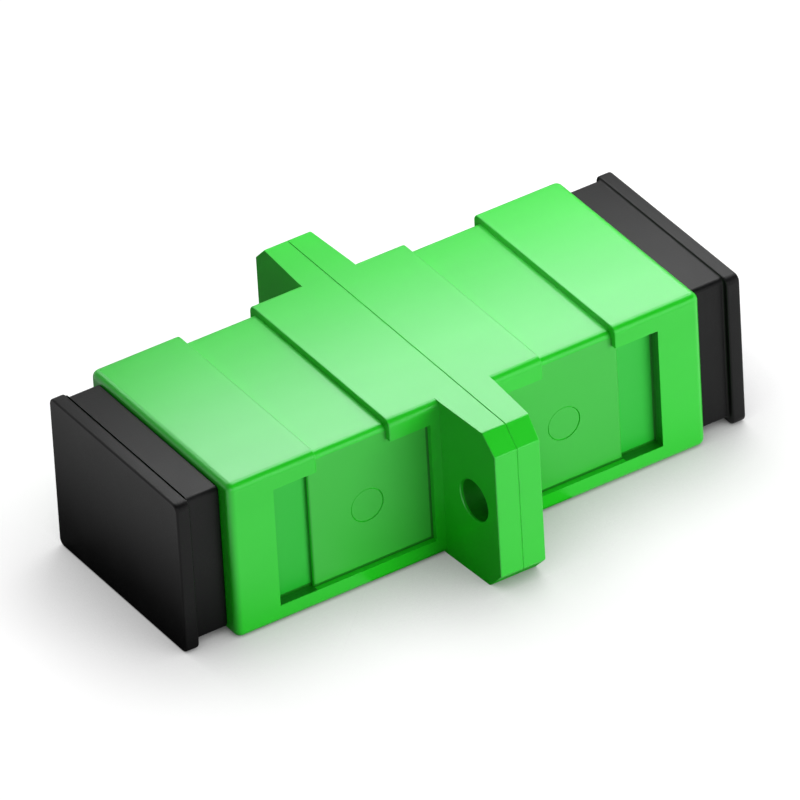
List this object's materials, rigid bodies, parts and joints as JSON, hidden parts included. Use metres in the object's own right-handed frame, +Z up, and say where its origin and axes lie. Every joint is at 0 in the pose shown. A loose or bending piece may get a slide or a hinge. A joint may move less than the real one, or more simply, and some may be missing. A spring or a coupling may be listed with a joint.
{
  "type": "fibre optic adapter",
  "caption": "Flanged fibre optic adapter that joins square push-pull plugs end to end, with a slit ceramic sleeve, latch cages and a pull-out dust cap in each port.",
  "frame": {"origin": "middle of the mounting flange, on the line of the ferrules", "axes": "+X out of the right port, +Y along the flange, +Z up, away from the key slots"},
  "size_m": [0.0334, 0.022, 0.0092],
  "materials": {
    "housing_plastic": "satin moulded green",
    "cap_plastic": "satin moulded black",
    "cage_plastic": "natural moulded",
    "sleeve_ceramic": "ground and polished"
  },
  "bodies": {
    "housing": {"housing_left": "housing_plastic", "housing_right": "housing_plastic", "latch_cage_left": "cage_plastic", "latch_cage_right": "cage_plastic", "alignment_sleeve": "sleeve_ceramic"},
    "left_cap": {"dust_cap_left": "cap_plastic"},
    "right_cap": {"dust_cap_right": "cap_plastic"}
  },
  "joints": [
    {"name": "left_cap_pull", "type": "slide", "parent": "housing", "child": "left_cap", "axis": [-1, 0, 0], "range_m": [0, 0.03]},
    {"name": "right_cap_pull", "type": "slide", "parent": "housing", "child": "right_cap", "axis": [1, 0, 0], "range_m": [0, 0.03]}
  ]
}
